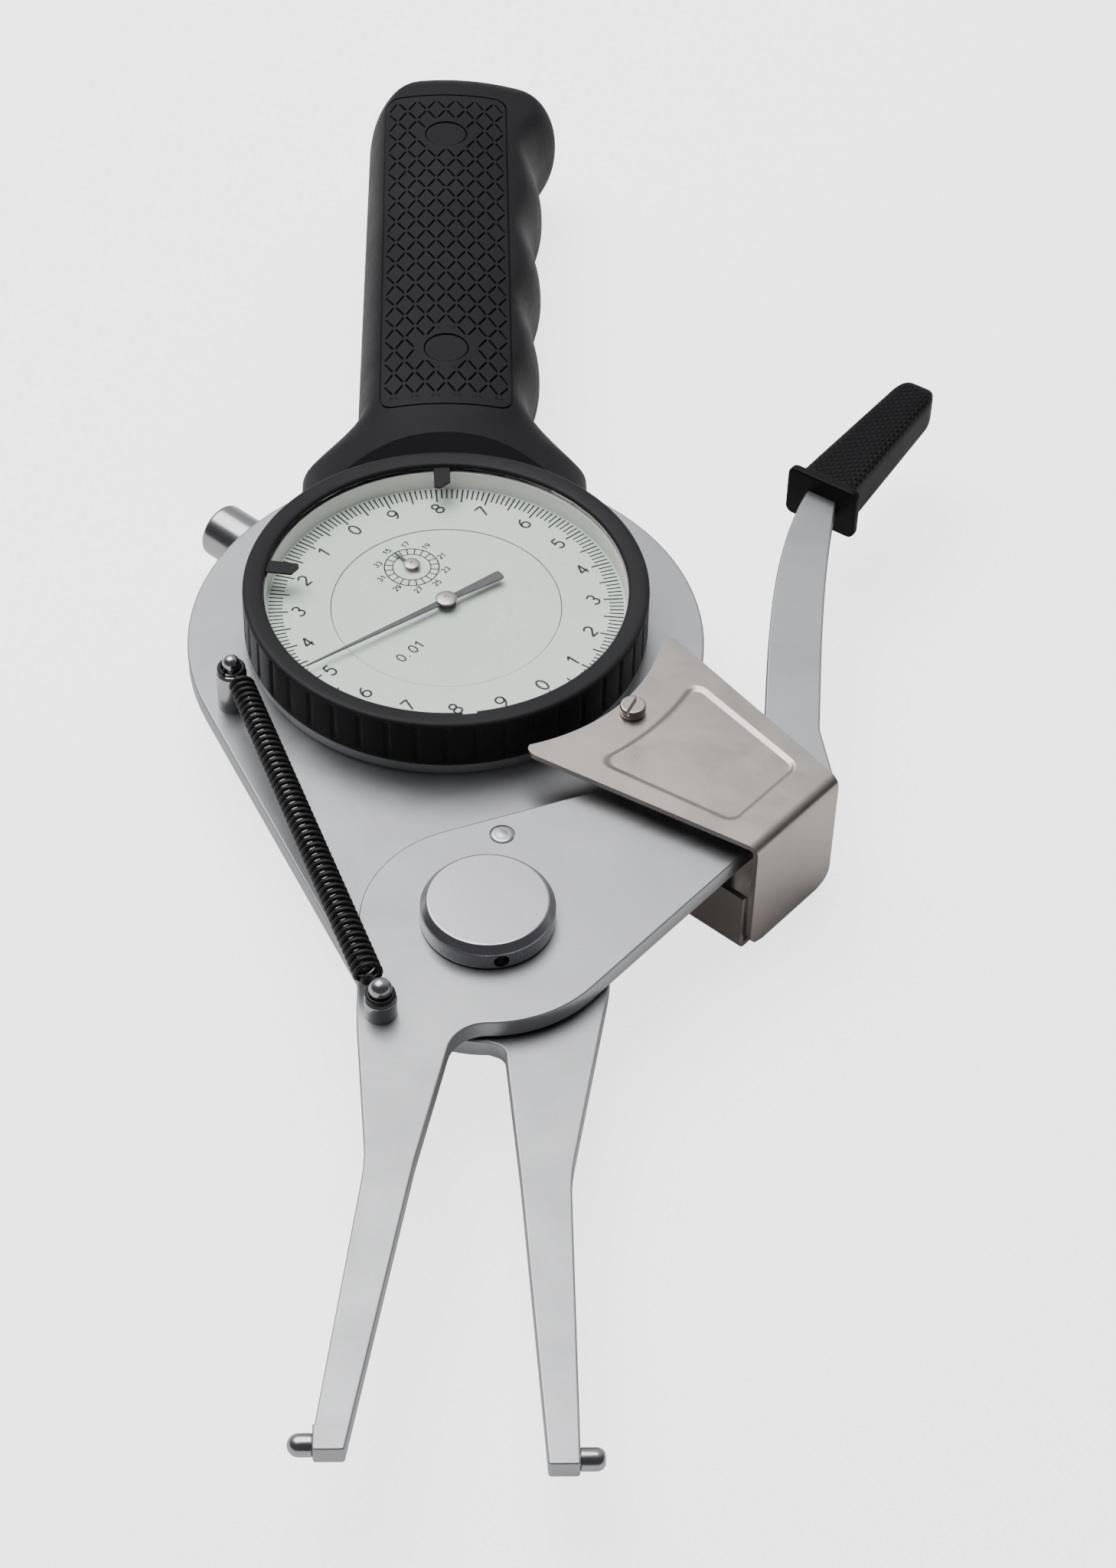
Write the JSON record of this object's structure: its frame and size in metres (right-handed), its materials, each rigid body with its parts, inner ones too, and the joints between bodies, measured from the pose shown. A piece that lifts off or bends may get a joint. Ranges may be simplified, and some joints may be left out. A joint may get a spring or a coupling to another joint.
{
  "type": "internal dial caliper",
  "caption": "Hand gauge for bores and inside grooves: two jaw plates on one pivot with a dial indicator, tension spring, sheet cover, trigger lever and moulded handle.",
  "frame": {"origin": "the dial's axis where it meets the plane of the indicator's flat back, on which the tool rests", "axes": "+Z out of the dial, +Y towards the handle, +X to the reader's right; the jaws point to -Y"},
  "size_m": [0.1077, 0.2572, 0.0236],
  "materials": {
    "satin_chrome": "satin chrome-plated steel",
    "bright_steel": "polished steel",
    "nickel": "satin nickel-plated sheet",
    "cast_case": "fine satin",
    "brass": "satin",
    "black_plastic": "matt moulded",
    "black_bezel": "satin",
    "black_wire": "blackened spring wire",
    "dial_paint": "matt, pale",
    "hand_paint": "satin black",
    "spacer_paint": "matt",
    "glass": "clear crystal"
  },
  "bodies": {
    "frame": {"main_plate": "satin_chrome", "fixed_contact": "bright_steel", "pivot_bolt": "bright_steel", "pivot_washer": "brass", "pivot_knob": "satin_chrome", "spring_post_upper": "bright_steel", "tension_spring": "black_wire", "indicator_case": "cast_case", "case_back": "cast_case", "case_back_screw_1": "nickel", "case_back_screw_2": "nickel", "case_back_screw_3": "nickel", "case_back_screw_4": "nickel", "stem": "bright_steel", "rear_cap": "bright_steel", "movement_plate": "brass", "movement_bridge": "brass", "inner_dial": "dial_paint", "cover": "nickel", "cover_post": "bright_steel", "cover_screw": "nickel", "cover_tray": "nickel", "tray_pillar_front": "bright_steel", "tray_pillar_rear": "bright_steel", "tray_screw_front": "nickel", "tray_screw_rear": "nickel", "handle_front_shell": "black_plastic", "handle_back_shell": "black_plastic", "handle_plug_upper": "black_plastic", "handle_plug_lower": "black_plastic", "handle_screw_upper": "bright_steel", "handle_screw_lower": "bright_steel"},
    "arm": {"moving_plate": "satin_chrome", "moving_contact": "bright_steel", "stop_pin": "bright_steel", "anvil_pin": "bright_steel", "spring_post_lower": "bright_steel", "trigger_grip": "black_plastic"},
    "spindle": {"spindle": "bright_steel", "contact_point": "bright_steel"},
    "drive_wheel": {"drive_wheel": "brass"},
    "counter_wheel": {"counter_wheel": "brass", "counter_hand": "hand_paint", "counter_hand_cap": "nickel"},
    "main_hand": {"centre_arbor": "bright_steel", "main_hand": "hand_paint", "main_hand_cap": "nickel"},
    "bezel": {"bezel": "black_bezel", "crystal": "glass", "dial_ring": "dial_paint", "dial_spacer": "spacer_paint"},
    "marker_upper": {"limit_marker_upper": "black_bezel"},
    "marker_left": {"limit_marker_left": "black_bezel"}
  },
  "joints": [
    {"name": "arm_swing", "type": "hinge", "parent": "frame", "child": "arm", "pos_m": [0.0052, -0.0561, 0.01535], "axis": [0, 0, 1], "range_deg": [0, 14.72], "stiffness_Nm_per_rad": 0.4, "springref_deg": -7.45, "deforming": ["tension_spring"]},
    {"name": "spindle_slide", "type": "slide", "parent": "frame", "child": "spindle", "axis": [-0.7431, 0.6691, 0], "range_m": [0, 0.00988]},
    {"name": "drive_wheel_turn", "type": "hinge", "parent": "frame", "child": "drive_wheel", "pos_m": [-0.00842, 0.00394, 0.0098], "axis": [0, 0, 1], "continuous": true},
    {"name": "counter_wheel_turn", "type": "hinge", "parent": "frame", "child": "counter_wheel", "pos_m": [-0.0048, 0.00796, 0.0117], "axis": [0, 0, 1], "continuous": true},
    {"name": "main_hand_turn", "type": "hinge", "parent": "frame", "child": "main_hand", "pos_m": [0, 0, 0.0194], "axis": [0, 0, 1], "continuous": true},
    {"name": "bezel_turn", "type": "hinge", "parent": "frame", "child": "bezel", "pos_m": [0, 0, 0.0185], "axis": [0, 0, 1], "continuous": true},
    {"name": "marker_upper_turn", "type": "hinge", "parent": "bezel", "child": "marker_upper", "pos_m": [0, 0, 0.0222], "axis": [0, 0, 1], "range_deg": [-130, 35]},
    {"name": "marker_left_turn", "type": "hinge", "parent": "bezel", "child": "marker_left", "pos_m": [0, 0, 0.0222], "axis": [0, 0, 1], "range_deg": [-35, 130]}
  ],
  "couplings": [
    {"joint": "spindle_slide", "follows": "arm_swing", "m_per_rad": 0.03845},
    {"joint": "drive_wheel_turn", "follows": "arm_swing", "ratio": 25.044},
    {"joint": "counter_wheel_turn", "follows": "arm_swing", "ratio": 25.044},
    {"joint": "main_hand_turn", "follows": "arm_swing", "ratio": -250.43}
  ]
}
